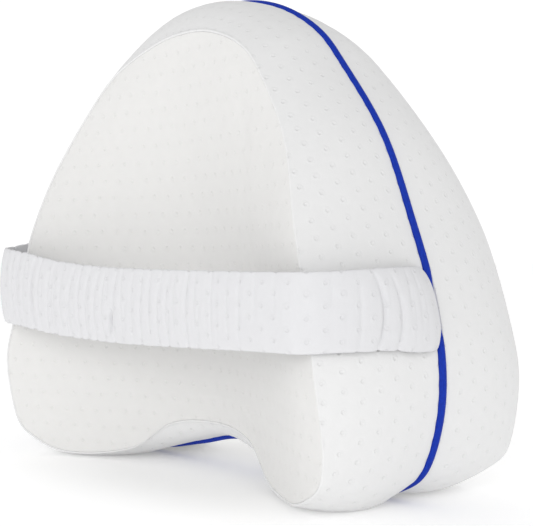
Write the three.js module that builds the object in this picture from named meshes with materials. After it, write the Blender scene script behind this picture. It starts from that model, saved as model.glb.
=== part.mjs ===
// Knee pillow: a filled pillow with a leg valley down each face and two lobes that it stands on,
// a piping round its middle, a face panel sewn in on each side, and a ruched strap across the front.
// Millimetres, +Z up. X runs along the width, the front looks along -Y and the floor is z = 0.

import * as THREE from 'three';

// The outline of the middle, where the piping runs, and of the seam round each face panel, in X and Z.
// The rows go from the top down the right-hand side to the notch, and the left side mirrors them.
// leftOut moves the left side's twins of the two outwards, because the sewn cover is a little uneven.
// crown is how far the side band swells between the piping and the seam, and square is how
// squarely it turns in to the seam: a higher power is a squarer edge.
const OUTLINE = [
  { place: 'top', middle: [0, 230], seam: [0, 210.5], leftOut: [0, 0], crown: 0.2, square: 2.9 },
  { place: 'crown', middle: [30, 223.5], seam: [24.5, 209], leftOut: [3, -2.6], crown: 0.2, square: 2.9 },
  { place: 'shoulder', middle: [56, 209], seam: [49, 199.5], leftOut: [2.6, -2.8], crown: 0.5, square: 2.8 },
  { place: 'upper arm', middle: [73.5, 190], seam: [66.5, 184], leftOut: [1, -2.2], crown: 1, square: 2.7 },
  { place: 'arm', middle: [97, 158], seam: [89, 153], leftOut: [0.3, -0.3], crown: 1.3, square: 2.6 },
  { place: 'waist', middle: [113, 122], seam: [104.5, 118.5], leftOut: [-2.5, -3], crown: 1.1, square: 2.5 },
  { place: 'strap', middle: [126.5, 84], seam: [116, 81.5], leftOut: [-4.5, -5.4], crown: 0.3, square: 3 },
  { place: 'hip', middle: [130.5, 48], seam: [122.5, 48.5], leftOut: [-1.8, -2.4], crown: 0.8, square: 3.6 },
  { place: 'lobe', middle: [122.5, 19], seam: [120, 19.5], leftOut: [-1.6, -1.6], crown: 1.8, square: 4.2 },
  { place: 'corner', middle: [108, 7.5], seam: [106.5, 8.4], leftOut: [-1.2, -1.2], crown: 5.6, square: 4.4 },
  { place: 'foot', middle: [88, 4], seam: [86, 3.4], leftOut: [0, 0], crown: 5.2, square: 4.4 },
  { place: 'inner foot', middle: [60, 6], seam: [56, 4.2], leftOut: [0, -5], crown: 2, square: 4.5 },
  { place: 'notch side', middle: [30, 11.5], seam: [31, 19], leftOut: [0, -3], crown: -0.8, square: 4.4 },
  { place: 'notch', middle: [0, 17], seam: [0, 24], leftOut: [0, 0], crown: -0.8, square: 4.3 },
];
const STEPS_PER_ROW = 4;

// Half the pillow's thickness at some heights, in the valley and along the ridge at ridgeX.
const THICKNESS = [
  { z: 0, valley: 15, ridge: 55.5, ridgeX: 112 },
  { z: 25, valley: 15.5, ridge: 59, ridgeX: 120.5 },
  { z: 60, valley: 18, ridge: 63.5, ridgeX: 121 },
  { z: 110, valley: 24.5, ridge: 60, ridgeX: 107.5 },
  { z: 160, valley: 32, ridge: 48, ridgeX: 85 },
  { z: 207, valley: 39, ridge: 39, ridgeX: 28 },
];
const VALLEY_POWER = 1.65;
const RIDGE_ROUNDING = 0.2;
const ROUNDING_POWER = 8;
const BAND_ROWS = [1, 0.93, 0.82, 0.68, 0.52, 0.34, 0.16];
const CROWN_PEAK = 0.45;
// The back half's crown, where it swells less than the front half's.
const BACK_CROWNS = { corner: 1.3, foot: 3.6 };

// The cover's unevenness at the notch, and the foam's flat where it carries the pillow.
const NOTCH_SHIFT = 2;
const NOTCH_REACH = { x: 80, z: 60 };
const ARCH_LEAN = 0.066;
const ARCH_REACH = { x: 90, y: 25, z: 60 };
const FOOT_PRESS = 1.6;
const FOOT_REACH = 60;

// Face panels: rings shrink from the seam towards the face's middle. The seat's gap is wider
// than the other one because the facets of the two solids turn differently over the valley.
const FACE_MIDDLE_Z = 100;
const FACE_RINGS = [0.9, 0.74, 0.55, 0.32];
const SEAT_INSET = 0.3;
const PANEL_INSET = 1.8;
const PANEL_TURN = 3.4;
const PANEL_THICKNESS = 2.2;
const PANEL_ROUNDING = 1.1;
const GAP = 0.4;
const SEAT_GAP = 0.8;

// Piping, sunk into a groove between the two side bands.
const PIPING_RADIUS = 1.75;
const PIPING_SINK = 1.2;
const PIPING_SIDES = 8;
const GROOVE_HALF_WIDTH = PIPING_RADIUS + GAP;
const GROOVE_DEPTH = PIPING_SINK + PIPING_RADIUS + 0.45;

// Strap: the middle of the band in plan, from its right-hand seam round the front to the left.
// gather is how deep the ruching stands, as a part of the deepest.
const STRAP = [
  { place: 'right seam', x: 130.6, y: -0.2, bottom: 71, top: 92, gather: 0 },
  { place: 'over piping', x: 131.4, y: -5, bottom: 66.5, top: 96, gather: 0.3 },
  { place: 'right side', x: 131.9, y: -15, bottom: 66, top: 100.5, gather: 0.8 },
  { place: 'right side 2', x: 130.4, y: -36, bottom: 67.5, top: 100.5, gather: 0.7 },
  { place: 'right ridge', x: 126, y: -55.2, bottom: 67.5, top: 99.5, gather: 0.4 },
  { place: 'right turn', x: 117.6, y: -68, bottom: 67, top: 99, gather: 0.4 },
  { place: 'right front', x: 102, y: -70.5, bottom: 67, top: 99, gather: 0.5 },
  { place: 'front right', x: 62, y: -70.8, bottom: 66, top: 99, gather: 0.7 },
  { place: 'front', x: 0, y: -71, bottom: 65, top: 99.2, gather: 1 },
  { place: 'front left', x: -48, y: -72.5, bottom: 66.6, top: 100.5, gather: 1 },
  { place: 'left front', x: -84, y: -73, bottom: 69, top: 105.5, gather: 1 },
  { place: 'left turn', x: -104, y: -71.5, bottom: 70.5, top: 108.5, gather: 0.9 },
  { place: 'left ridge', x: -117.3, y: -61.3, bottom: 72, top: 109.5, gather: 0.9 },
  { place: 'left side', x: -124, y: -44, bottom: 75, top: 113.5, gather: 0.8 },
  { place: 'left side 2', x: -127.6, y: -20, bottom: 78.5, top: 116, gather: 0.7 },
  { place: 'left over piping', x: -126.2, y: -5, bottom: 80, top: 113, gather: 0.3 },
  { place: 'left seam', x: -125, y: 0.2, bottom: 83, top: 110, gather: 0 },
];
const STRAP_STEPS = 192;
const STRAP_SIDES = 14;
const STRAP_THICKNESS = 3.2;
const STRAP_END_THICKNESS = 1.6;
const STRAP_END_LENGTH = 9;
const GATHER_DEPTH = 0.9;
const GATHER_PITCH = 6.6;
const GATHER_DRIFT = 0.9;
const HEM_WAVE = 0.8;

const COVER_WHITE = 0xf0f0ee;
const PANEL_WHITE = 0xe9e9e7;
const STRAP_WHITE = 0xe6e7e9;
const PIPING_BLUE = 0x0a3cc0;

const FRONT = -1;
const BACK = 1;

function clamp01(value) {
  return Math.min(1, Math.max(0, value));
}

// One column of a table at a place between its rows, smooth and without overshoot.
function readTable(rows, along, column, at) {
  const last = rows.length - 1;
  if (at <= rows[0][along]) return rows[0][column];
  if (at >= rows[last][along]) return rows[last][column];
  const i = rows.findIndex((row) => row[along] >= at) - 1;
  const width = (k) => rows[k + 1][along] - rows[k][along];
  const slope = (k) => (rows[k + 1][column] - rows[k][column]) / width(k);
  const tangent = (k) => {
    if (k === 0) return slope(0);
    if (k === last) return slope(last - 1);
    const before = slope(k - 1);
    const after = slope(k);
    return before * after <= 0 ? 0 : (2 * before * after) / (before + after);
  };
  const t = (at - rows[i][along]) / width(i);
  const blend = t * t * (3 - 2 * t);
  const level = rows[i][column] * (1 - blend) + rows[i + 1][column] * blend;
  const lift = tangent(i) * t * (1 - t) * (1 - t) - tangent(i + 1) * t * t * (1 - t);
  return level + lift * width(i);
}

// The closed loop through one of the outline's columns, as evenly shared steps in the XZ plane.
// outIndex is that column's place in leftOut.
function outlineLoop(column, outIndex) {
  const right = OUTLINE.map(({ [column]: [x, z] }) => new THREE.Vector3(x, 0, z));
  const left = OUTLINE.slice(1, -1).reverse().map(({ [column]: [x, z], leftOut }) => {
    const point = new THREE.Vector3(-x, 0, z);
    const outward = new THREE.Vector3(point.x, 0, point.z - FACE_MIDDLE_Z).normalize();
    return point.addScaledVector(outward, leftOut[outIndex]);
  });
  const curve = new THREE.CatmullRomCurve3([...right, ...left], true, 'catmullrom', 0.5);
  const count = (right.length + left.length) * STEPS_PER_ROW;
  return Array.from({ length: count }, (_, i) => {
    const point = curve.getPoint(i / count);
    point.z = Math.max(0, point.z);
    return point;
  });
}

// Unit vectors that point into the pillow, one for each step of a loop that runs clockwise from the front.
function inwardNormals(loop) {
  return loop.map((_, i) => {
    const ahead = loop[(i + 1) % loop.length];
    const behind = loop[(i + loop.length - 1) % loop.length];
    return new THREE.Vector3(ahead.z - behind.z, 0, behind.x - ahead.x).normalize();
  });
}

// Half the thickness over a place of the face: it grows from the valley and levels out at the ridge.
function halfThickness(x, z) {
  const valley = readTable(THICKNESS, 'z', 'valley', z);
  const ridge = readTable(THICKNESS, 'z', 'ridge', z);
  const ridgeX = readTable(THICKNESS, 'z', 'ridgeX', z);
  const reach = Math.min(1, Math.abs(x) / ridgeX);
  const rise = (1 + RIDGE_ROUNDING) * reach ** VALLEY_POWER - RIDGE_ROUNDING * reach ** ROUNDING_POWER;
  return valley + (ridge - valley) * rise;
}

// The uneven notch, and the flat of the feet.
function settle(point) {
  const nearNotch = clamp01(1 - Math.hypot(point.x / NOTCH_REACH.x, point.z / NOTCH_REACH.z));
  const underArch = clamp01(Math.abs(point.y) / ARCH_REACH.y)
    * clamp01(1 - point.z / ARCH_REACH.z)
    * clamp01(1 - Math.abs(point.x) / ARCH_REACH.x);
  point.z += ARCH_LEAN * point.x * underArch;
  point.x += NOTCH_SHIFT * nearNotch;
  point.z = Math.max(0, point.z - FOOT_PRESS * clamp01(1 - point.z / FOOT_REACH));
  return point;
}

const middleLoop = outlineLoop('middle', 0);
const middleInward = inwardNormals(middleLoop);
const seamLoop = outlineLoop('seam', 1);

// A value of the outline's rows at one step of its loop, the same on the left and on the right.
function outlineValue(valueOf, step) {
  const steps = (OUTLINE.length - 1) * STEPS_PER_ROW;
  const place = (step <= steps ? step : 2 * steps - step) / STEPS_PER_ROW;
  const row = Math.min(OUTLINE.length - 2, Math.floor(place));
  return THREE.MathUtils.lerp(valueOf(OUTLINE[row]), valueOf(OUTLINE[row + 1]), place - row);
}

// A ring of the side band: part is 0 at the middle of the pillow and 1 at the face's seam.
function bandRing(side, part) {
  const crownOf = (row) => (side === BACK ? BACK_CROWNS[row.place] : undefined) ?? row.crown;
  const swell = Math.sin(Math.PI * part ** (Math.log(0.5) / Math.log(CROWN_PEAK)));
  return middleLoop.map((middle, i) => {
    const seam = seamLoop[i];
    const depth = halfThickness(seam.x, seam.z);
    const share = part ** outlineValue((row) => row.square, i);
    const point = new THREE.Vector3().lerpVectors(middle, seam, share);
    point.addScaledVector(middleInward[i], -outlineValue(crownOf, i) * swell);
    point.y = side * depth * part;
    return settle(point);
  });
}

// A ring of the face: scale shrinks the seam to it, inset then draws it in by a distance,
// and sink is how far it lies under the face.
function faceRing(side, scale, inset, sink) {
  return seamLoop.map((seam) => {
    const reach = new THREE.Vector2(seam.x, seam.z - FACE_MIDDLE_Z);
    reach.setLength(reach.length() * scale - inset);
    const z = FACE_MIDDLE_Z + reach.y;
    return settle(new THREE.Vector3(reach.x, side * (halfThickness(reach.x, z) - sink), z));
  });
}

// A ring beside the piping: sink is its depth under the outline.
function grooveRing(side, sink) {
  const lowest = sink > 0 ? 2 * PIPING_RADIUS + 2 * GAP : 0;
  return middleLoop.map((middle, i) => {
    const point = middle.clone().addScaledVector(middleInward[i], sink);
    point.y = side * GROOVE_HALF_WIDTH;
    settle(point);
    point.z = Math.max(lowest, point.z);
    return point;
  });
}

function faceMiddle(side, sink) {
  return new THREE.Vector3(0, side * (halfThickness(0, FACE_MIDDLE_Z) - sink), FACE_MIDDLE_Z);
}

// A closed solid from rings of points that follow each other. With two poles it is capped there,
// and with none its last ring joins its first. The faces point out where the rings go from the back
// to the front and each ring runs clockwise as the front shows it.
function ringSolid(rings, firstPole, lastPole) {
  const points = rings.flat();
  const count = rings[0].length;
  const triangles = [];
  const at = (ring, i) => (ring % rings.length) * count + (i % count);
  const joins = firstPole ? rings.length - 1 : rings.length;
  for (let ring = 0; ring < joins; ring += 1) {
    for (let i = 0; i < count; i += 1) {
      triangles.push(at(ring, i), at(ring + 1, i + 1), at(ring, i + 1));
      triangles.push(at(ring, i), at(ring + 1, i), at(ring + 1, i + 1));
    }
  }
  if (firstPole) {
    const first = points.push(firstPole) - 1;
    const last = points.push(lastPole) - 1;
    for (let i = 0; i < count; i += 1) {
      triangles.push(first, at(0, i), at(0, i + 1));
      triangles.push(last, at(rings.length - 1, i + 1), at(rings.length - 1, i));
    }
  }
  const geometry = new THREE.BufferGeometry().setFromPoints(points);
  geometry.setIndex(triangles);
  geometry.computeVertexNormals();
  return geometry;
}

function pillowBody() {
  const seat = PANEL_THICKNESS + SEAT_GAP;
  const half = (side) => [
    ...FACE_RINGS.toReversed().map((scale) => faceRing(side, scale, 0, seat)),
    faceRing(side, 1, PANEL_INSET, seat),
    faceRing(side, 1, SEAT_INSET, seat),
    ...BAND_ROWS.map((part) => bandRing(side, part)),
    grooveRing(side, 0),
    grooveRing(side, GROOVE_DEPTH),
  ];
  const rings = [...half(BACK), ...half(FRONT).reverse()];
  return ringSolid(rings, faceMiddle(BACK, seat), faceMiddle(FRONT, seat));
}

function facePanel(side) {
  const outwards = [
    ...FACE_RINGS.toReversed().map((scale) => faceRing(side, scale, 0, PANEL_THICKNESS)),
    faceRing(side, 1, PANEL_INSET, PANEL_THICKNESS),
    faceRing(side, 1, PANEL_INSET, PANEL_ROUNDING),
    faceRing(side, 1, PANEL_TURN, 0),
    ...FACE_RINGS.map((scale) => faceRing(side, scale, 0, 0)),
  ];
  if (side === FRONT) {
    return ringSolid(outwards, faceMiddle(side, PANEL_THICKNESS), faceMiddle(side, 0));
  }
  return ringSolid(outwards.reverse(), faceMiddle(side, 0), faceMiddle(side, PANEL_THICKNESS));
}

function piping() {
  const rings = Array.from({ length: PIPING_SIDES }, (_, k) => {
    const angle = (2 * Math.PI * k) / PIPING_SIDES;
    return middleLoop.map((middle, i) => {
      const centre = settle(middle.clone().addScaledVector(middleInward[i], PIPING_SINK));
      centre.z = Math.max(PIPING_RADIUS + GAP, centre.z);
      centre.addScaledVector(middleInward[i], PIPING_RADIUS * Math.cos(angle));
      centre.y += PIPING_RADIUS * Math.sin(angle);
      return centre;
    });
  });
  return ringSolid(rings);
}

// How far the ruching stands out at a place along the strap, from -1 to 1.
function gatherWave(distance) {
  const drift = GATHER_DRIFT * Math.sin(distance / 23) + GATHER_DRIFT * Math.sin(distance / 9.7);
  const main = Math.sin((2 * Math.PI * distance) / GATHER_PITCH + drift);
  return main * (0.75 + 0.25 * Math.sin(distance / 14.3));
}

function strap() {
  const stops = STRAP.map((row) => new THREE.Vector3(row.x, row.y, 0));
  const path = new THREE.CatmullRomCurve3(stops, false, 'centripetal');
  const length = path.getLength();
  const rows = STRAP.map((row, i) => ({ ...row, stop: i / (STRAP.length - 1) }));
  const rings = Array.from({ length: STRAP_STEPS + 1 }, (_, i) => {
    const along = i / STRAP_STEPS;
    const distance = along * length;
    const stop = path.getUtoTmapping(along);
    const centre = path.getPoint(stop);
    const direction = path.getTangent(stop);
    const outward = new THREE.Vector3(-direction.y, direction.x, 0);
    const bottom = readTable(rows, 'stop', 'bottom', stop);
    const top = readTable(rows, 'stop', 'top', stop);
    const gather = readTable(rows, 'stop', 'gather', stop);
    const fromEnd = Math.min(distance, length - distance) / STRAP_END_LENGTH;
    const thickness = THREE.MathUtils.lerp(STRAP_END_THICKNESS, STRAP_THICKNESS, clamp01(fromEnd));
    const wave = gather * gatherWave(distance);
    return Array.from({ length: STRAP_SIDES }, (__, k) => {
      const angle = (-2 * Math.PI * k) / STRAP_SIDES;
      const across = Math.sign(Math.cos(angle)) * Math.abs(Math.cos(angle)) ** 0.35;
      const up = Math.sign(Math.sin(angle)) * Math.abs(Math.sin(angle)) ** 0.8;
      const outside = across > 0 ? GATHER_DEPTH * wave : 0;
      const point = centre.clone().addScaledVector(outward, across * thickness / 2 + outside);
      point.z = (bottom + top) / 2 + up * ((top - bottom) / 2 + HEM_WAVE * wave);
      return point;
    });
  });
  const middleOf = (ring) => ring
    .reduce((sum, point) => sum.add(point), new THREE.Vector3())
    .divideScalar(ring.length);
  return ringSolid(rings, middleOf(rings[0]), middleOf(rings[STRAP_STEPS]));
}

function cloth(color, roughness) {
  return new THREE.MeshStandardMaterial({ color, roughness, metalness: 0 });
}

const PIECES = [
  ['pillow_body', pillowBody(), cloth(COVER_WHITE, 0.9)],
  ['front_panel', facePanel(FRONT), cloth(PANEL_WHITE, 0.9)],
  ['back_panel', facePanel(BACK), cloth(PANEL_WHITE, 0.9)],
  ['piping', piping(), cloth(PIPING_BLUE, 0.6)],
  ['strap', strap(), cloth(STRAP_WHITE, 0.95)],
];

const group = new THREE.Group();
for (const [name, geometry, material] of PIECES) {
  const mesh = new THREE.Mesh(geometry, material);
  mesh.name = name;
  group.add(mesh);
}

// The part's frame: the middle of its box, on the floor.
const box = new THREE.Box3().setFromObject(group);
const middle = box.getCenter(new THREE.Vector3());
group.position.set(-middle.x, -middle.y, -box.min.z);

export default group;
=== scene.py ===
"""Knee pillow with a ruched strap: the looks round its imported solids.

Shapes are worked out in millimetres from tables like those of the part's source, in that
source's own coordinates, and move by FRAME_SHIFT into the row frame. Meshes are in metres.
"""

import math

import bpy
import numpy as np
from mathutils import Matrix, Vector
from mathutils.kdtree import KDTree


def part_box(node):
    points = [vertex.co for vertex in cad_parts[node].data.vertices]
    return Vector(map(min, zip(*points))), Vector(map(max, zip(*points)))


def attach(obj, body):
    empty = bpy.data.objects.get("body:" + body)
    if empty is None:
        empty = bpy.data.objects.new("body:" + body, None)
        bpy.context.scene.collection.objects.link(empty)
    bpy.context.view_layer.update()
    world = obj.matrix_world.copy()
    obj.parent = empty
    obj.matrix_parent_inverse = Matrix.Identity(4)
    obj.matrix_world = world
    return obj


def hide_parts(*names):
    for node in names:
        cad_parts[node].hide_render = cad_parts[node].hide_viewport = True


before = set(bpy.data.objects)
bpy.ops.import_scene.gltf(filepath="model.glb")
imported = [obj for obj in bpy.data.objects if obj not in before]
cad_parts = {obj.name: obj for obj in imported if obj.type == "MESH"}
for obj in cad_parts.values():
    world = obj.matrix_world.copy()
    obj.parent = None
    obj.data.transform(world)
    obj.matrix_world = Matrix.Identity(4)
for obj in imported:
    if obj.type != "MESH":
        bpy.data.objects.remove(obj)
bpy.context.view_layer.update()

MM = 0.001
FRONT, BACK = -1, 1

# The part's outline as in its source, one row for each place from the top down the right side. Only
# the back's crowns at the lobe and the foot differ, to follow the photograph more closely.
OUTLINE_COLUMNS = (
    "x", "z", "seam_x", "seam_z", "left_out", "left_seam", "front_crown", "back_crown", "square")
OUTLINE = dict(zip(OUTLINE_COLUMNS, np.array([
    (0, 230, 0, 210.5, 0, 0, 0.2, 0.2, 2.9),
    (30, 223.5, 24.5, 209, 3, -2.6, 0.2, 0.2, 2.9),
    (56, 209, 49, 199.5, 2.6, -2.8, 0.5, 0.5, 2.8),
    (73.5, 190, 66.5, 184, 1, -2.2, 1, 1, 2.7),
    (97, 158, 89, 153, 0.3, -0.3, 1.3, 1.3, 2.6),
    (113, 122, 104.5, 118.5, -2.5, -3, 1.1, 1.1, 2.5),
    (126.5, 84, 116, 81.5, -4.5, -5.4, 0.3, 0.3, 3),
    (130.5, 48, 122.5, 48.5, -1.8, -2.4, 0.8, 0.8, 3.6),
    (122.5, 19, 120, 19.5, -1.6, -1.6, 1.8, 2.7, 4.2),
    (108, 7.5, 106.5, 8.4, -1.2, -1.2, 5.6, 3.8, 4.4),
    (88, 4, 86, 3.4, 0, 0, 5.2, 2.9, 4.4),
    (60, 6, 56, 4.2, 0, -5, 2, 2, 4.5),
    (30, 11.5, 31, 19, 0, -3, -0.8, -0.8, 4.4),
    (0, 17, 0, 24, 0, 0, -0.8, -0.8, 4.3),
], float).T))

# Half the thickness in the valley and along the ridge, and where the ridge runs.
THICKNESS = dict(zip(("z", "valley", "ridge", "ridge_x"), np.array([
    (0, 15, 55.5, 112),
    (25, 15.5, 59, 120.5),
    (60, 18, 63.5, 121),
    (110, 24.5, 60, 107.5),
    (160, 32, 48, 85),
    (207, 39, 39, 28),
], float).T))
VALLEY_POWER = 1.65
RIDGE_ROUNDING = 0.2
ROUNDING_POWER = 8
CROWN_PEAK = 0.45

NOTCH_SHIFT = 2
NOTCH_REACH = (80, 60)
ARCH_LEAN = 0.066
ARCH_REACH = (90, 25, 60)
FOOT_PRESS = 1.6
FOOT_REACH = 60
FACE_MIDDLE = np.array([0, 100.0])

PANEL_THICKNESS = 2.2
SEAT_DEPTH = 3.0
PIPING_RADIUS = 2.1
PIPING_SINK = 0.5
# How deep the strap's ends press the piping in, at which heights on the right and on the left, and
# how far up and down from there.
PIPING_PRESS = 1.2
PRESS_HEIGHT = (84, 96.5)
PRESS_REACH = 12
# How high the piping and the floor of its groove stay over what the pillow stands on.
PIPING_LIFT = 0.3
GROOVE_LIFT = 0.8
GROOVE_HALF_WIDTH = 2.0
GROOVE_DEPTH = 3.4

# The seam round a face: the band's edge stands proud as a narrow ridge, and the panel's edge is
# tucked down beside it. Each row is a place on the section: how far in from the seam, and how deep
# under the face.
BAND_EDGE = ((0.1, -0.15), (0.35, -0.35), (0.65, -0.42), (0.95, -0.3), (1.15, -0.1), (1.25, 0.05),
             (1.3, 0.3), (1.3, 1.5), (1.3, SEAT_DEPTH))
PANEL_EDGE = ((4.8, 0), (3.6, 0), (2.6, 0.01), (1.9, 0.03), (1.5, 0.05), (1.35, 0.08), (1.33, 0.5),
              (1.8, 1.6))

# Mesh density: steps round the outline for each of its 26 rows, and rows over a side band.
STEPS_PER_ROW = 24
BAND_ROWS = 46
# Rings under a panel, as shares of the way out from the face's middle to its seam.
INNER_RINGS = (0.8, 0.5, 0.2)
UNDER_EDGE_RING = 0.97
PIPING_SIDES = 20
# Steps between two rows of the strap's path, and stops over which a face's curve is measured.
PATH_STEPS = 80
CURVE_STOPS = 24

# The dimpled knit: how far apart dimples are along a row and from row to row, in millimetres.
# Every other row is moved by half a space.
FACE_DIMPLES = (8.8, 8.4)
BAND_DIMPLES = (7.9, 8.6)
STRAP_DIMPLES = (9.0, 6.8)
PUFF = 0.14
PUFF_RADIUS = 2.6

# Strap: the middle of the band in plan from the right seam to the left one, its edges, how far its
# middle bulges, and how much of the body's slope it follows.
STRAP_COLUMNS = ("x", "y", "bottom", "top", "bulge", "lean")
STRAP = dict(zip(STRAP_COLUMNS, np.array([
    (128, -1.4, 69, 99, 0, 1),
    (129.9, -6, 66.3, 100.8, 0.4, 1),
    (131.4, -15, 66, 101, 0.6, 0.8),
    (130.4, -36, 67.5, 100.5, 0.6, 0.3),
    (126, -55.2, 67.5, 99.5, 0.5, 0.1),
    (117.6, -68, 67, 99, 0.4, 0),
    (102, -70.5, 67, 99, 0.4, 0),
    (62, -70.8, 66, 99.2, 0.4, 0),
    (0, -71, 65, 100, 0.5, 0),
    (-48, -72.5, 66.2, 102.8, 0.8, 0),
    (-84, -73, 69, 107.6, 1.4, 0),
    (-104, -71.5, 70.5, 109.6, 1.8, 0),
    (-117.3, -61.3, 72, 110.5, 1.8, 0),
    (-124, -44, 75, 113.5, 1.2, 0.3),
    (-127.6, -20, 78.5, 116, 0.8, 0.7),
    (-126.2, -5, 80, 113, 0.4, 1),
    (-124.6, 0.2, 81, 112, 0, 1),
], float).T))
STRAP_THICKNESS = 2.6
STRAP_END_THICKNESS = 1.4
STRAP_END_LENGTH = 9
STRAP_STEP = 0.5
STRAP_ROWS = 40
SECTION_SQUARENESS = 0.3
EDGE_ROUNDNESS = 0.9
STRAP_CLEARANCE = 0.25
# How much of a fold shows on the strap's inner side, and how sharp a fold is.
INNER_FOLD_SHARE = 0.4
FOLD_SHARPNESS = 1.35
# The body's slope beside the strap's ends, and how far their corners are drawn in to the seam.
END_SLOPE = 0.22
END_TUCK = 2.4
HEM_WAVE = 0.75
HEM_HEIGHT = 0.9

# The strap's gathers by distance from its right seam: how deep the folds are there, how wide, and
# how far their middles bow towards the strap's left end.
GATHERS = dict(zip(("at", "depth", "width", "bow"), np.array([
    (0, 0.0, 0.9, -2),
    (14, 0.2, 0.9, -2.5),
    (45, 0.12, 1.1, -1.5),
    (60, 0.1, 1.3, 0),
    (90, 0.12, 1.3, 1),
    (105, 0.3, 1.2, 1.4),
    (125, 0.55, 1.1, 2),
    (150, 0.75, 1.0, 2.6),
    (240, 1.0, 0.95, 3.6),
    (300, 0.9, 0.9, 3),
    (350, 0.7, 0.9, 2),
    (374, 0.0, 0.9, 2),
], float).T))
# Folds that stand out in the photograph: distance, depth, width, bow, and the heights across the
# strap, from -1 at its bottom edge to 1 at its top one, where the fold is deepest and how far it runs.
FOLDS = (
    (39.3, 1.9, 1.1, -4.3, -0.1, 0.9),
    (30.0, 1.4, 1.2, -4.2, -0.2, 0.9),
    (22.5, 0.5, 1.0, -2.0, 0.5, 0.5),
    (17.0, 0.35, 1.0, -2.0, 0.3, 0.6),
    (47.5, 0.5, 1.2, -1.0, -0.1, 0.9),
    (58.0, 0.3, 1.2, 0.4, 0.6, 0.5),
    (81.0, 0.3, 1.1, 0.5, 0.5, 0.7),
    (92.0, 0.35, 1.1, 0.6, 0.4, 0.7),
    (101.5, 0.4, 1.1, 0.8, 0.3, 0.8),
    (119.5, 0.7, 1.1, 1.2, 0.1, 1.1),
    (136.0, 0.8, 1.0, 2.2, 0.0, 1.1),
    (193.5, 3.2, 0.85, 0.6, -0.4, 0.3),
    (273.5, 1.1, 0.9, 3.0, 0.0, 1.1),
    (258.0, 1.2, 0.9, 3.2, 0.0, 1.1),
    (240.5, 1.3, 0.9, 3.4, -0.1, 1.0),
)
FOLD_SEED = 7

# The camera, fitted to the photograph: its place in the source's coordinates, its turn about Z
# and its tip, both in degrees, its lens, and how far it sees in metres.
CAMERA_PLACE = (441.25, -368.25, 103.7)
CAMERA_TURN = 48.807
CAMERA_TIP = -0.196
CAMERA_LENS = 78.15
SENSOR_WIDTH = 36
CAMERA_REACH = 100

# The filling's pressure, as a cloth run on a coarse copy of the cover: the size of its cells, its
# pressure and steps, how far a point may move, and how far from what holds it it moves in full.
SWELL_CELL = 6
SWELL_PRESSURE = 4
SWELL_STEPS = 20
SWELL_CAP = 1.2
SWELL_FADE = 16
# How many of the copy's points move a point of the fine cover, and the lines that the strap holds.
SWELL_NEAREST = 8
SWELL_STRAP_LINES = 6

# Colours, as linear light.
COVER_WHITE = (0.775, 0.775, 0.775)
PANEL_WHITE = (0.757, 0.752, 0.741)
STRAP_WHITE = (0.71, 0.71, 0.725)
PIPING_BLUE = (0.001, 0.032, 0.40)
PIPING_SHADE = (0.0, 0.02, 0.30)

# The surfaces: how rough they are, the knit's sheen, and how strong each bump is and how deep.
KNIT_ROUGHNESS = 0.92
KNIT_SHEEN = 0.12
CORD_ROUGHNESS = 0.7
FLOOR_ROUGHNESS = 0.9
SPECULAR = 0.25
KNIT_BUMP = (1.0, 0.001)
CORD_BUMP = (0.5, 0.0003)
NOISE_DETAIL = 3.0

# The knit's surface, in metres across and in millimetres of height: the pit in the middle of
# a dimple, the rim round it, the fine loops, and how far the rows of dimples wander.
PIT_REACH = (0.0002, 0.0008)
RIM_RISE = (0.0006, 0.0010)
RIM_FALL = (0.0010, 0.0022)
RIM_HEIGHT = 0.12
LOOP_HEIGHT = 0.06
LOOP_SCALE = 1100
DEEP_DIMPLE = 0.13
FAINT_DIMPLE = 0.08
WANDER = 0.0022
WANDER_SCALE = 45
# How much darker the painted shade is, how much of it a pit of a given depth takes as painted shade in
# the pit, and the mottling, a random tone.
SHADE = 0.93
PIT_SHADE = 1.7
MOTTLE_SCALE = 160
MOTTLE_RANGE = (0.35, 0.75)
MOTTLE_SHARE = 0.2
GRAIN_SCALE = 900
GRAIN_STRETCH = (0.6, 1.6, 1)
GRAIN_RANGE = (0.3, 0.7)

# The room: a white floor that glows a little, less so under the pillow, which paints a soft shadow
# round and under it, a sky that is brightest low down, and one large soft light.
FLOOR_SIZE = 30
FLOOR_GREY = 0.9
FLOOR_GLOW = (0.15, 0.37)
FOOTPRINT = (0.115, 0.06, 1)
GLOW_REACH = (0.6, 1.9)
HORIZON_LIGHT = 1.06
ZENITH_LIGHT = 0.42
HORIZON_TOP = 0.25
KEY_LIGHT = {"place": (1.2, -1.7, 0.65), "aim": (0, 0, 0.1), "size": 1.2, "power": 10}

# How far the strap reaches to the right in the source's coordinates.
STRAP_REACH = 134.163
piping_low, piping_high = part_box("piping")
strap_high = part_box("strap")[1]
FRAME_SHIFT = np.array([
    strap_high.x / MM - STRAP_REACH,
    (piping_low.y + piping_high.y) / 2 / MM,
    0.0,
])


def read_table(table, along, column, at):
    """A column of a table at places between its rows, smooth and without overshoot."""
    places, values = table[along], table[column]
    widths = np.diff(places)
    slopes = np.diff(values) / widths
    before, after = slopes[:-1], slopes[1:]
    turning = before * after <= 0
    total = np.where(turning, 1, before + after)
    tangents = np.concatenate([
        slopes[:1], np.where(turning, 0, 2 * before * after / total), slopes[-1:]])
    at = np.clip(np.asarray(at, float), places[0], places[-1])
    i = np.clip(np.searchsorted(places, at) - 1, 0, len(widths) - 1)
    t = (at - places[i]) / widths[i]
    blend = t * t * (3 - 2 * t)
    level = values[i] * (1 - blend) + values[i + 1] * blend
    lift = tangents[i] * t * (1 - t) ** 2 - tangents[i + 1] * t * t * (1 - t)
    return level + lift * widths[i]


def curve(start, end, leave, arrive, t):
    """Points on the way from start to end, with the direction given at each of them."""
    return (start + leave * t
            + (3 * (end - start) - 2 * leave - arrive) * t ** 2
            + (2 * (start - end) + leave + arrive) * t ** 3)


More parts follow.
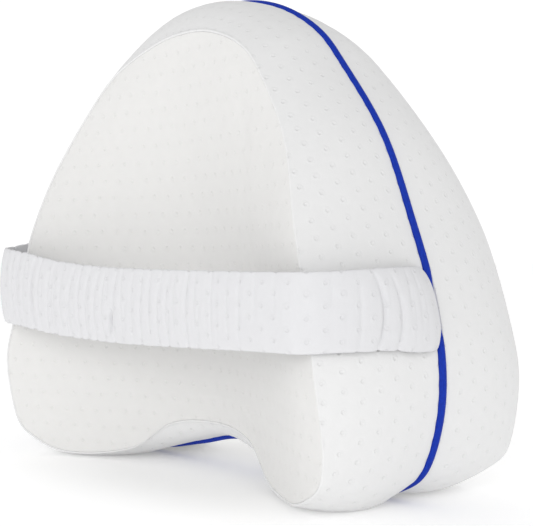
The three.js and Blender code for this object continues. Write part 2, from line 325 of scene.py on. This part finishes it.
def outline_loop(x_column, z_column, left_column):
    """The closed loop through one pair of the outline's columns, as points (x, z)."""
    right = np.stack([OUTLINE[x_column], OUTLINE[z_column]], 1)
    left = right[1:-1][::-1] * (-1, 1)
    outward = left - FACE_MIDDLE
    outward /= np.linalg.norm(outward, axis=1, keepdims=True)
    left = left + outward * OUTLINE[left_column][1:-1][::-1, None]
    stops = np.concatenate([right, left])
    t = (np.arange(STEPS_PER_ROW) / STEPS_PER_ROW)[:, None]
    parts = []
    for i in range(len(stops)):
        before, start, end, after = (stops[(i + k) % len(stops)] for k in (-1, 0, 1, 2))
        parts.append(curve(start, end, (end - before) / 2, (after - start) / 2, t))
    loop = np.concatenate(parts)
    loop[:, 1] = np.maximum(0, loop[:, 1])
    return loop


def inward_normals(loop):
    ahead, behind = np.roll(loop, -1, 0), np.roll(loop, 1, 0)
    normals = np.stack([ahead[:, 1] - behind[:, 1], behind[:, 0] - ahead[:, 0]], 1)
    return normals / np.linalg.norm(normals, axis=1, keepdims=True)


def half_thickness(x, z):
    valley = read_table(THICKNESS, "z", "valley", z)
    ridge = read_table(THICKNESS, "z", "ridge", z)
    reach = np.minimum(1, np.abs(x) / read_table(THICKNESS, "z", "ridge_x", z))
    rise = (1 + RIDGE_ROUNDING) * reach ** VALLEY_POWER - RIDGE_ROUNDING * reach ** ROUNDING_POWER
    return valley + (ridge - valley) * rise


def settle(points):
    """The uneven notch, and the flat of the feet."""
    x, y, z = points.T
    near = np.clip(1 - np.hypot(x / NOTCH_REACH[0], z / NOTCH_REACH[1]), 0, 1)
    under = (np.clip(np.abs(y) / ARCH_REACH[1], 0, 1) * np.clip(1 - z / ARCH_REACH[2], 0, 1)
             * np.clip(1 - np.abs(x) / ARCH_REACH[0], 0, 1))
    z = z + ARCH_LEAN * x * under
    x = x + NOTCH_SHIFT * near
    z = np.maximum(0, z - FOOT_PRESS * np.clip(1 - z / FOOT_REACH, 0, 1))
    return np.stack([x, y, z], 1)


middle_loop = outline_loop("x", "z", "left_out")
middle_inward = inward_normals(middle_loop)
seam_loop = outline_loop("seam_x", "seam_z", "left_seam")
LOOP_STEPS = len(middle_loop)


def outline_value(column):
    """A column of the outline at each step of its loop, the same on both sides."""
    half = (len(OUTLINE["x"]) - 1) * STEPS_PER_ROW
    steps = np.arange(LOOP_STEPS)
    place = np.where(steps <= half, steps, 2 * half - steps) / STEPS_PER_ROW
    return np.interp(place, np.arange(len(OUTLINE["x"])), OUTLINE[column])


def in_plane(loop, y):
    return np.stack([loop[:, 0], np.broadcast_to(y, len(loop)), loop[:, 1]], 1)


def band_ring(side, part):
    """A ring of the side band: part is 0 at the middle of the pillow and 1 at the face's seam."""
    share = part ** outline_value("square")[:, None]
    flat = middle_loop * (1 - share) + seam_loop * share
    swell = math.sin(math.pi * part ** (math.log(0.5) / math.log(CROWN_PEAK)))
    crown = outline_value("front_crown" if side == FRONT else "back_crown")
    flat = flat - middle_inward * (crown * swell)[:, None]
    depth = half_thickness(seam_loop[:, 0], seam_loop[:, 1])
    return settle(in_plane(flat, side * depth * part))


def seam_inset(inset):
    """The face's seam drawn in by a distance towards the face's middle."""
    reach = seam_loop - FACE_MIDDLE
    length = np.linalg.norm(reach, axis=1, keepdims=True)
    return reach * (length - inset) / length + FACE_MIDDLE


def on_face(side, flat, sink):
    return settle(in_plane(flat, side * (half_thickness(flat[:, 0], flat[:, 1]) - sink)))


def groove_ring(side, sink):
    points = settle(in_plane(middle_loop + middle_inward * sink, side * GROOVE_HALF_WIDTH))
    if sink > 0:
        points[:, 2] = np.maximum(2 * PIPING_RADIUS + GROOVE_LIFT, points[:, 2])
    return points


def face_grid(side, inset, sink):
    """A face inside its seam as a square grid bent to the seam's loop: its points, its quads, and
    the points on its rim in the order of the loop."""
    count = LOOP_STEPS // 4
    rim = seam_inset(inset)
    u, v = np.meshgrid(np.linspace(-1, 1, count + 1), np.linspace(-1, 1, count + 1))
    ring = np.maximum(np.abs(u), np.abs(v))
    safe = np.where(ring == 0, 1, ring)
    a, b = u / safe, v / safe
    # Way round the square, clockwise from the middle of its top edge.
    turn = np.select([b >= 1 - 1e-9, a >= 1 - 1e-9, b <= -1 + 1e-9], [a, 2 - b, 4 - a], 6 + b) % 8
    step = turn / 8 * LOOP_STEPS
    low = np.floor(step + 1e-6).astype(int)
    share = (step - low)[..., None]
    edge = rim[low % LOOP_STEPS] * (1 - share) + rim[(low + 1) % LOOP_STEPS] * share
    flat = FACE_MIDDLE + (edge - FACE_MIDDLE) * ring[..., None]
    points = on_face(side, flat.reshape(-1, 2), sink)
    index = np.arange((count + 1) ** 2).reshape(count + 1, count + 1)
    quads = np.stack([index[:-1, :-1], index[:-1, 1:], index[1:, 1:], index[1:, :-1]], -1)
    rim_order = np.zeros(LOOP_STEPS, int)
    on_rim = ring.ravel() > 1 - 1e-9
    rim_order[np.round(step.ravel()[on_rim]).astype(int) % LOOP_STEPS] = index.ravel()[on_rim]
    return points, quads.reshape(-1, 4), rim_order


def dimple_distance(flats, spacing):
    """How far each flat place is from the nearest dimple of the knit."""
    period = np.array([spacing[0], 2 * spacing[1]])
    near = []
    for shift in (0, 0.5):
        cell = (flats / period + shift) % 1 - 0.5
        near.append(np.hypot(*(cell * period).T))
    return np.minimum(*near)


def puff(flats, spacing):
    """The knit's soft relief: low round each dimple and full between them."""
    return -PUFF * np.exp(-(dimple_distance(flats, spacing) / PUFF_RADIUS) ** 2)


class Cloth:
    """Points and quads gathered piece by piece, with a flat place in millimetres for each point
    and how far the knit's relief moves it. Round a closed loop the flat places start again after
    loop_length."""

    def __init__(self, loop_length=math.inf):
        self.loop_length = loop_length
        self.points, self.quads, self.triangles, self.flats, self.relief = [], [], [], [], []
        self.total = 0

    def add(self, points, flats, relief=0.0):
        first = self.total
        self.points.append(points)
        self.flats.append(flats)
        self.relief.append(np.broadcast_to(relief, len(points)))
        self.total += len(points)
        return np.arange(first, self.total)

    def join(self, rings, inward):
        """Quads between rings of the same number of points. inward says that they run from a
        front face's rim to its middle, or from a back face's middle to its rim."""
        for ring, next_ring in zip(rings, rings[1:]):
            if not inward:
                ring, next_ring = next_ring, ring
            self.quads.append(np.stack(
                [ring, next_ring, np.roll(next_ring, -1), np.roll(ring, -1)], 1))

    def cap(self, ring, point, flat, inward):
        pole = self.add(point[None], np.array(flat, float)[None])
        poles = np.repeat(pole, len(ring))
        fan = np.stack([ring, poles, np.roll(ring, -1)], 1)
        self.triangles.append(fan if inward else fan[:, ::-1])

    def make(self, name, material):
        points = (np.concatenate(self.points) + FRAME_SHIFT) * MM
        faces = [quad for quads in self.quads for quad in quads.tolist()]
        faces += [fan for triangles in self.triangles for fan in triangles.tolist()]
        mesh = bpy.data.meshes.new(name)
        mesh.from_pydata(points.tolist(), [], faces)
        relief = np.concatenate(self.relief) * MM
        normals = np.zeros(len(points) * 3, np.float32)
        mesh.vertices.foreach_get("normal", normals)
        points = points + normals.reshape(-1, 3) * relief[:, None]
        mesh.vertices.foreach_set("co", points.astype(np.float32).ravel())
        layer = mesh.uv_layers.new(name="flat")
        corners = np.zeros(len(mesh.loops), np.int32)
        mesh.loops.foreach_get("vertex_index", corners)
        flats = np.concatenate(self.flats)[corners]
        # A quad across the loop's end keeps its pattern's size: its far side lies past the end.
        quads = flats[:4 * sum(map(len, self.quads)), 0].reshape(-1, 4)
        over = np.ptp(quads, axis=1, keepdims=True) > self.loop_length / 2
        quads += np.where(over & (quads < self.loop_length / 2), self.loop_length, 0)
        layer.data.foreach_set("uv", (flats * MM).astype(np.float32).ravel())
        mesh.polygons.foreach_set("use_smooth", np.ones(len(mesh.polygons), bool))
        mesh.materials.append(material)
        mesh.update()
        piece = bpy.data.objects.new(name, mesh)
        bpy.context.scene.collection.objects.link(piece)
        return piece


def arc_round(ring, spacing):
    """Distance along a closed ring to each of its points, and its whole length, both stretched
    a little so that a pattern of the given spacing meets itself."""
    sums = np.cumsum(np.linalg.norm(np.roll(ring, -1, 0) - ring, axis=1))
    sums *= round(sums[-1] / spacing) * spacing / sums[-1]
    return np.concatenate([[0], sums[:-1]]), sums[-1]


def face_flat(points):
    """Where points of a face lie on the panel before it is stretched over the valley."""
    x, z = points[:, 0], points[:, 2]
    stops = np.linspace(0, 1, CURVE_STOPS)[None, :] * x[:, None]
    rise = half_thickness(stops, np.repeat(z[:, None], CURVE_STOPS, 1))
    steps = np.hypot(np.diff(stops, axis=1), np.diff(rise, axis=1))
    return np.stack([np.sign(x) * steps.sum(1), z], 1)


def close_face(cloth, side, rings, scales, sink, inward):
    """Rings drawn in under a face from the last one given, and a cap in its middle."""
    for scale in scales:
        points = on_face(side, (seam_loop - FACE_MIDDLE) * scale + FACE_MIDDLE, sink)
        rings.append(cloth.add(points, face_flat(points)))
    cloth.join(rings, inward)
    middle = on_face(side, FACE_MIDDLE[None], sink)[0]
    cloth.cap(rings[-1], middle, FACE_MIDDLE, inward)


def make_cover(material):
    """The side bands, each from the piping to its seam, round the pillow's filling."""
    around, length = arc_round(in_plane(middle_loop, 0), BAND_DIMPLES[0])
    cloth = Cloth(length)
    parts = np.linspace(0, 1, BAND_ROWS + 1)[1:]
    parts[0] = GROOVE_HALF_WIDTH / THICKNESS["ridge"].mean()
    groove = {}
    for side in (BACK, FRONT):
        rings, across, last = [], 0.0, None
        for part in parts:
            points = band_ring(side, part)
            if last is not None:
                across = across + np.linalg.norm(points - last, axis=1)
            last = points
            flats = np.stack([around, np.broadcast_to(side * across, LOOP_STEPS)], 1)
            rings.append(cloth.add(points, flats, puff(flats, BAND_DIMPLES)))
        for inset, sink in BAND_EDGE:
            points = on_face(side, seam_inset(inset), sink)
            flats = np.stack([around, side * (across + sink)], 1)
            rings.append(cloth.add(points, flats))
        close_face(cloth, side, rings, INNER_RINGS, SEAT_DEPTH, side == FRONT)
        deep = cloth.add(groove_ring(side, GROOVE_DEPTH), np.stack([around, 0 * around], 1))
        groove[side] = (deep, rings[0])
    cloth.join([groove[BACK][1], groove[BACK][0], groove[FRONT][0], groove[FRONT][1]], True)
    return cloth.make("cover", material)


def make_panel(side, material, name):
    """A face panel: one sheet with its edge turned down, as thick as the knit and its backing."""
    cloth = Cloth()
    points, quads, rim = face_grid(side, PANEL_EDGE[0][0], 0)
    flats = face_flat(points)
    cloth.add(points, flats, puff(flats, FACE_DIMPLES))
    cloth.quads.append(quads if side == FRONT else quads[:, ::-1])
    rings = [rim]
    for inset, sink in PANEL_EDGE[1:]:
        points = on_face(side, seam_inset(inset), sink)
        rings.append(cloth.add(points, face_flat(points)))
    close_face(cloth, side, rings, (UNDER_EDGE_RING, *INNER_RINGS), PANEL_THICKNESS, side == BACK)
    return cloth.make(name, material)


def make_piping(material):
    height = np.where(middle_loop[:, 0] > 0, *PRESS_HEIGHT)
    press = PIPING_PRESS * np.exp(-((middle_loop[:, 1] - height) / PRESS_REACH) ** 4)
    centre = settle(in_plane(middle_loop + middle_inward * (PIPING_SINK + press)[:, None], 0))
    centre[:, 2] = np.maximum(PIPING_RADIUS + PIPING_LIFT, centre[:, 2])
    along, length = arc_round(centre, 1)
    cloth = Cloth(length)
    inward = in_plane(middle_inward, 0)
    rings = []
    for k in range(PIPING_SIDES):
        angle = 2 * math.pi * k / PIPING_SIDES
        points = centre + inward * PIPING_RADIUS * math.cos(angle)
        points[:, 1] += PIPING_RADIUS * math.sin(angle)
        # The pattern is mirrored round the cord, so that it meets itself.
        flats = np.stack([along, np.full(LOOP_STEPS, PIPING_RADIUS * abs(math.pi - angle))], 1)
        rings.append(cloth.add(points, flats))
    cloth.join([*rings, rings[0]], True)
    return cloth.make("piping_cord", material)


def strap_path():
    """The strap's middle in plan as close points, with the row's place for each and the distance."""
    stops = np.stack([STRAP["x"], STRAP["y"]], 1)
    padded = np.concatenate([[2 * stops[0] - stops[1]], stops, [2 * stops[-1] - stops[-2]]])
    t = (np.arange(PATH_STEPS) / PATH_STEPS)[:, None]
    points, places = [], []
    for i in range(len(stops) - 1):
        p0, p1, p2, p3 = padded[i:i + 4]
        d0, d1, d2 = (math.dist(a, b) ** 0.5 for a, b in ((p0, p1), (p1, p2), (p2, p3)))
        leave = ((p1 - p0) / d0 - (p2 - p0) / (d0 + d1) + (p2 - p1) / d1) * d1
        arrive = ((p2 - p1) / d1 - (p3 - p1) / (d1 + d2) + (p3 - p2) / d2) * d1
        points.append(curve(p1, p2, leave, arrive, t))
        places.append(i + t[:, 0])
    points = np.concatenate([*points, stops[-1:]])
    places = np.concatenate([*places, [len(stops) - 1]])
    distance = np.concatenate([[0], np.cumsum(np.linalg.norm(np.diff(points, axis=0), axis=1))])
    return points, places, distance


def strap_folds(length):
    """Every fold of the strap as rows like those of FOLDS: one along each line of dimples, with a
    finer one beside most, and then the ones that stand out."""
    draw = np.random.default_rng(FOLD_SEED)
    rows = []
    spacing = STRAP_DIMPLES[1]
    for at in np.arange(spacing, length, spacing):
        depth, width, bow = (float(read_table(GATHERS, "at", column, at))
                             for column in ("depth", "width", "bow"))
        middle = draw.uniform(-0.3, 0.3)
        rows.append((at + draw.normal(0, 0.7), depth * draw.uniform(0.5, 1.2), width,
                     bow * draw.uniform(0.6, 1.3), middle, draw.uniform(0.9, 1.5)))
        beside = at + spacing * draw.uniform(0.35, 0.65)
        rows.append((beside, depth * draw.uniform(0.1, 0.8), width * 0.8,
                     bow * draw.uniform(0.6, 1.4), draw.uniform(-0.6, 0.6), draw.uniform(0.4, 0.9)))
    return rows + list(FOLDS)


def fold_depth(folds, along, up):
    """How far the folds draw the strap's outer side in, at distances along it and heights across."""
    total = np.zeros_like(along)
    for at, depth, width, bow, middle, run in folds:
        line = at + bow * (1 - (up - middle) ** 2)
        share = np.exp(-((up - middle) / run) ** 4)
        total = total + depth * share * np.exp(-np.abs((along - line) / width) ** FOLD_SHARPNESS)
    return total


def make_strap(material):
    path, places, distance = strap_path()
    length = distance[-1]
    along = np.linspace(0, length, round(length / STRAP_STEP) + 1)
    place = np.interp(along, distance, places)
    centre = np.stack([np.interp(along, distance, path[:, k]) for k in (0, 1)], 1)
    direction = np.gradient(centre, axis=0)
    direction /= np.linalg.norm(direction, axis=1, keepdims=True)
    outward = np.stack([-direction[:, 1], direction[:, 0]], 1)
    table = {**STRAP, "stop": np.arange(len(STRAP["x"]), dtype=float)}
    bottom, top, bulge, lean = (read_table(table, "stop", column, place)
                                for column in ("bottom", "top", "bulge", "lean"))
    from_end = np.clip(np.minimum(along, length - along) / STRAP_END_LENGTH, 0, 1)
    thickness = STRAP_END_THICKNESS + (STRAP_THICKNESS - STRAP_END_THICKNESS) * from_end
    folds = strap_folds(length)
    cloth = Cloth()
    rings = []
    section = 2 * math.pi * (np.arange(2 * STRAP_ROWS) + 0.5) / (2 * STRAP_ROWS)
    for angle in section:
        cosine, sine = math.cos(angle), math.sin(angle)
        across = math.copysign(abs(cosine) ** SECTION_SQUARENESS, cosine)
        up = 2 * math.asin(sine) / math.pi
        height = math.copysign(abs(sine) ** EDGE_ROUNDNESS, sine) * 0.5 + up * 0.5
        folded = fold_depth(folds, along, np.full_like(along, height))
        hem = fold_depth(folds, along, np.full_like(along, math.copysign(HEM_HEIGHT, height)))
        sag = folded * (1 if across > 0 else INNER_FOLD_SHARE)
        out = across * thickness / 2 + bulge * (1 - height ** 2) - sag * abs(across) + STRAP_CLEARANCE
        slope = END_SLOPE * height * (top - bottom) / 2 + END_TUCK * abs(height) ** 3
        flat = centre + outward * (out - lean * slope)[:, None]
        edge = (top - bottom) / 2 - HEM_WAVE * hem
        z = (bottom + top) / 2 + height * edge
        points = np.stack([flat[:, 0], flat[:, 1], z], 1)
        flats = np.stack([z, along], 1)
        rings.append(cloth.add(points, flats))
    grid = np.array(rings)
    joined = np.concatenate([grid, grid[:1]])
    quads = np.stack([joined[:-1, :-1], joined[1:, :-1], joined[1:, 1:], joined[:-1, 1:]], -1)
    cloth.quads.append(quads.reshape(-1, 4))
    for end, inward in ((0, True), (-1, False)):
        ring = grid[:, end]
        outer = np.concatenate(cloth.points)[ring]
        cloth.cap(ring, outer.mean(0), (0, along[end]), inward)
    return cloth.make("strap_band", material)


def mesh_points(mesh):
    points = np.zeros(len(mesh.vertices) * 3, np.float32)
    mesh.vertices.foreach_get("co", points)
    return points.reshape(-1, 3).astype(float)


def tree_of(points):
    tree = KDTree(len(points))
    for index, point in enumerate(points):
        tree.insert(point, index)
    tree.balance()
    return tree


def held_places():
    """Where the seams, the piping and the strap hold the cover, in metres."""
    lines = [in_plane(middle_loop, 0)]
    lines += [on_face(side, seam_loop, 0) for side in (FRONT, BACK)]
    path = strap_path()[0]
    for height in np.linspace(STRAP["bottom"].min(), STRAP["top"].mean(), SWELL_STRAP_LINES):
        lines.append(np.column_stack([path, np.full(len(path), height)]))
    return tree_of((np.concatenate(lines) + FRAME_SHIFT) * MM)


def loose_share(points, held):
    """0 where something holds the cover or it stands on the floor, and 1 well away from that."""
    nearest = np.array([held.find(point)[2] for point in points])
    away = np.clip(np.minimum(nearest, points[:, 2]) / (SWELL_FADE * MM), 0, 1)
    return away * away * (3 - 2 * away)


def swell(shape, held):
    """A cloth run with the filling's pressure on a coarse copy of a shape: where the copy's points
    start, and how far each of them moves."""
    scene = bpy.context.scene
    shell = bpy.data.objects.new("shell", shape.data.copy())
    scene.collection.objects.link(shell)
    remesh = shell.modifiers.new("coarse", "REMESH")
    remesh.mode = "VOXEL"
    remesh.voxel_size = SWELL_CELL * MM
    view = bpy.context.evaluated_depsgraph_get()
    coarse = bpy.data.meshes.new_from_object(shell.evaluated_get(view))
    shell.modifiers.clear()
    shell.data = coarse
    start = mesh_points(coarse)
    pins = shell.vertex_groups.new(name="pins")
    for index, share in enumerate(loose_share(start, held)):
        pins.add([index], 1 - float(share), "REPLACE")
    cloth = shell.modifiers.new("filling", "CLOTH")
    cloth.settings.vertex_group_mass = pins.name
    cloth.settings.use_pressure = True
    cloth.settings.uniform_pressure_force = SWELL_PRESSURE
    cloth.settings.effector_weights.gravity = 0
    cloth.point_cache.frame_start = 1
    cloth.point_cache.frame_end = SWELL_STEPS
    for step in range(1, SWELL_STEPS + 1):
        scene.frame_set(step)
    view = bpy.context.evaluated_depsgraph_get()
    moves = mesh_points(shell.evaluated_get(view).data) - start
    scene.frame_set(1)
    bpy.data.objects.remove(shell)
    lengths = np.linalg.norm(moves, axis=1, keepdims=True)
    return start, moves * np.minimum(1, SWELL_CAP * MM / np.maximum(lengths, 1e-9))


def take_swell(piece, start, moves, held):
    """Move a fine piece with the coarse copy's nearest points."""
    tree = tree_of(start)
    points = mesh_points(piece.data)
    shares = loose_share(points, held)
    for point, share in zip(points, shares):
        if share > 0:
            near = tree.find_n(point, SWELL_NEAREST)
            weights = np.array([1 / (distance + SWELL_CELL * MM / 2) ** 2 for *_, distance in near])
            step = weights @ moves[[index for _, index, _ in near]] / weights.sum()
            point += share * step
    piece.data.vertices.foreach_set("co", points.astype(np.float32).ravel())
    piece.data.update()


class Nodes:
    """Short ways to add and join the nodes of one material."""

    def __init__(self, material):
        self.tree = material.node_tree
        self.shader = self.tree.nodes["Principled BSDF"]

    def add(self, kind, **settings):
        node = self.tree.nodes.new(kind)
        for name, value in settings.items():
            setattr(node, name, value)
        return node

    def feed(self, socket, value):
        if isinstance(value, bpy.types.NodeSocket):
            self.tree.links.new(value, socket)
        else:
            socket.default_value = value

    def math(self, operation, *values):
        node = self.add("ShaderNodeMath", operation=operation)
        for socket, value in zip(node.inputs, values):
            self.feed(socket, value)
        return node.outputs[0]

    def vector(self, operation, *values):
        node = self.add("ShaderNodeVectorMath", operation=operation)
        for socket, value in zip(node.inputs, values):
            self.feed(socket, value)
        return node.outputs["Value"] if operation == "LENGTH" else node.outputs["Vector"]

    def ramp(self, value, low, high, start=0.0, end=1.0):
        """Smoothly from start, where value is low, to end, where it is high."""
        node = self.add("ShaderNodeMapRange", interpolation_type="SMOOTHSTEP")
        for name, given in (("Value", value), ("From Min", low), ("From Max", high),
                            ("To Min", start), ("To Max", end)):
            self.feed(node.inputs[name], given)
        return node.outputs["Result"]

    def noise(self, scale, where):
        node = self.add("ShaderNodeTexNoise")
        node.inputs["Scale"].default_value = scale
        node.inputs["Detail"].default_value = NOISE_DETAIL
        self.feed(node.inputs["Vector"], where)
        return node.outputs["Fac"]

    def bump(self, height, strength, distance):
        node = self.add("ShaderNodeBump")
        node.inputs["Strength"].default_value = strength
        node.inputs["Distance"].default_value = distance
        self.feed(node.inputs["Height"], height)
        self.feed(self.shader.inputs["Normal"], node.outputs["Normal"])

    def mix(self, share, first, second):
        node = self.add("ShaderNodeMix", data_type="RGBA")
        self.feed(node.inputs["Factor"], share)
        for name, color in (("A", first), ("B", second)):
            socket = next(s for s in node.inputs if s.name == name and s.type == "RGBA")
            socket.default_value = (*color, 1)
        return next(s for s in node.outputs if s.type == "RGBA")


def new_material(name, color, roughness, sheen=0.0):
    material = bpy.data.materials.new(name)
    material.use_nodes = True
    shader = material.node_tree.nodes["Principled BSDF"]
    shader.inputs["Base Color"].default_value = (*color, 1)
    shader.inputs["Roughness"].default_value = roughness
    shader.inputs["Sheen Weight"].default_value = sheen
    shader.inputs["Specular IOR Level"].default_value = SPECULAR
    return material


def nearest_dimple(nodes, place, spacing):
    """The distance in metres to the nearest dimple of the staggered rows."""
    period = (spacing[0] * MM, 2 * spacing[1] * MM, 1)
    scaled = nodes.vector("DIVIDE", place, period)
    distances = []
    for shift in (0.0, 0.5):
        moved = nodes.vector("ADD", scaled, (shift, shift, 0.5))
        cell = nodes.vector("SUBTRACT", nodes.vector("FRACTION", moved), (0.5, 0.5, 0.5))
        distances.append(nodes.vector("LENGTH", nodes.vector("MULTIPLY", cell, period)))
    return nodes.math("MINIMUM", *distances)


def knit(name, color, spacing, dimple_depth=DEEP_DIMPLE):
    """White knit: small rimmed pits in staggered rows, painted darker inside as shade, fine loops, and
    a little unevenness.
    """
    material = new_material(name, color, KNIT_ROUGHNESS, KNIT_SHEEN)
    nodes = Nodes(material)
    flat = nodes.add("ShaderNodeUVMap", uv_map="flat").outputs["UV"]
    drift = nodes.add("ShaderNodeTexNoise")
    drift.inputs["Scale"].default_value = WANDER_SCALE
    nodes.feed(drift.inputs["Vector"], flat)
    shift = nodes.vector("SUBTRACT", drift.outputs["Color"], (0.5, 0.5, 0.5))
    place = nodes.vector("ADD", flat, nodes.vector("MULTIPLY", shift, (WANDER, WANDER, 0)))
    distance = nearest_dimple(nodes, place, spacing)
    pit = nodes.ramp(distance, *PIT_REACH, 1.0, 0.0)
    rim = nodes.math("MULTIPLY", nodes.ramp(distance, *RIM_RISE),
                     nodes.ramp(distance, *RIM_FALL, 1.0, 0.0))
    fine = nodes.noise(LOOP_SCALE, flat)
    height = nodes.math("ADD", nodes.math("MULTIPLY", pit, -dimple_depth),
                        nodes.math("MULTIPLY", rim, RIM_HEIGHT))
    height = nodes.math("ADD", height, nodes.math("MULTIPLY", fine, LOOP_HEIGHT))
    nodes.bump(height, *KNIT_BUMP)
    shade = tuple(c * SHADE for c in color)
    mottle = nodes.noise(MOTTLE_SCALE, flat)
    # Painted shade in each pit, darker for deeper pits, mixed with a random mottle of tone.
    painted_pit_shade_and_mottle = nodes.math("ADD", nodes.math("MULTIPLY", pit, PIT_SHADE * dimple_depth),
                      nodes.ramp(mottle, *MOTTLE_RANGE, MOTTLE_SHARE, 0.0))
    nodes.feed(nodes.shader.inputs["Base Color"], nodes.mix(painted_pit_shade_and_mottle, color, shade))
    return material


def cord(name, color, edge_color):
    """Blue piping: a smooth tube of knit with a fine lengthwise grain."""
    material = new_material(name, color, CORD_ROUGHNESS)
    nodes = Nodes(material)
    flat = nodes.add("ShaderNodeUVMap", uv_map="flat").outputs["UV"]
    grain = nodes.noise(GRAIN_SCALE, nodes.vector("MULTIPLY", flat, GRAIN_STRETCH))
    nodes.bump(grain, *CORD_BUMP)
    nodes.feed(nodes.shader.inputs["Base Color"],
               nodes.mix(nodes.ramp(grain, *GRAIN_RANGE), edge_color, color))
    return material


cover = make_cover(knit("cover_knit", COVER_WHITE, BAND_DIMPLES))
panel_cloth = knit("panel_knit", PANEL_WHITE, FACE_DIMPLES, FAINT_DIMPLE)
front_panel = make_panel(FRONT, panel_cloth, "front_face")
back_panel = make_panel(BACK, panel_cloth, "back_face")
piping = make_piping(cord("piping_blue", PIPING_BLUE, PIPING_SHADE))
strap = make_strap(knit("strap_knit", STRAP_WHITE, STRAP_DIMPLES))

held = held_places()
start, moves = swell(cover, held)
for piece in (cover, front_panel, back_panel):
    take_swell(piece, start, moves, held)

for piece, node, slot in (
    (cover, "pillow_body", "cover_knit"),
    (front_panel, "front_panel", "panel_knit"),
    (back_panel, "back_panel", "panel_knit"),
    (piping, "piping", "piping_blue"),
    (strap, "strap", "strap_knit"),
):
    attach(piece, "root")
    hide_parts(node)


def make_floor():
    """A white table top that glows a little, most of all away from the pillow, so that the weaker glow
    near it paints a soft shadow.
    """
    mesh = bpy.data.meshes.new("floor")
    corners = ((-1, -1), (1, -1), (1, 1), (-1, 1))
    mesh.from_pydata([(FLOOR_SIZE * x, FLOOR_SIZE * y, 0) for x, y in corners], [], [(0, 1, 2, 3)])
    material = new_material("floor_white", (FLOOR_GREY,) * 3, FLOOR_ROUGHNESS)
    nodes = Nodes(material)
    place = nodes.add("ShaderNodeTexCoord").outputs["Object"]
    away = nodes.vector("LENGTH", nodes.vector("DIVIDE", place, FOOTPRINT))
    # Painted shadow: the glow fades towards the pillow's footprint.
    glow = nodes.ramp(away, *GLOW_REACH, *FLOOR_GLOW)
    nodes.feed(nodes.shader.inputs["Emission Strength"], glow)
    nodes.shader.inputs["Emission Color"].default_value = (1, 1, 1, 1)
    mesh.materials.append(material)
    floor = bpy.data.objects.new("floor", mesh)
    bpy.context.scene.collection.objects.link(floor)


def make_light():
    """A white room, brightest low down, and a large soft light from the front right."""
    world = bpy.data.worlds.new("white_room")
    world.use_nodes = True
    tree = world.node_tree
    direction = tree.nodes.new("ShaderNodeTexCoord").outputs["Generated"]
    split = tree.nodes.new("ShaderNodeSeparateXYZ")
    rise = tree.nodes.new("ShaderNodeMapRange")
    rise.inputs["From Min"].default_value = HORIZON_TOP
    rise.inputs["To Min"].default_value = HORIZON_LIGHT
    rise.inputs["To Max"].default_value = ZENITH_LIGHT
    tree.links.new(direction, split.inputs[0])
    tree.links.new(split.outputs["Z"], rise.inputs["Value"])
    tree.links.new(rise.outputs["Result"], tree.nodes["Background"].inputs["Strength"])
    tree.nodes["Background"].inputs["Color"].default_value = (1, 1, 1, 1)
    bpy.context.scene.world = world
    data = bpy.data.lights.new("key", "AREA")
    data.shape = "DISK"
    data.size = KEY_LIGHT["size"]
    data.energy = KEY_LIGHT["power"]
    key = bpy.data.objects.new("key", data)
    key.location = KEY_LIGHT["place"]
    aim = Vector(KEY_LIGHT["aim"]) - Vector(KEY_LIGHT["place"])
    key.rotation_euler = aim.to_track_quat("-Z", "Y").to_euler()
    bpy.context.scene.collection.objects.link(key)


def make_camera():
    data = bpy.data.cameras.new("camera")
    data.lens = CAMERA_LENS
    data.sensor_width = SENSOR_WIDTH
    data.clip_end = CAMERA_REACH
    camera = bpy.data.objects.new("camera", data)
    camera.location = (np.array(CAMERA_PLACE) + FRAME_SHIFT) * MM
    camera.rotation_euler = (math.radians(90 + CAMERA_TIP), 0, math.radians(CAMERA_TURN))
    bpy.context.scene.collection.objects.link(camera)
    bpy.context.scene.camera = camera


make_floor()
make_light()
make_camera()
bpy.context.scene.view_settings.view_transform = "Standard"
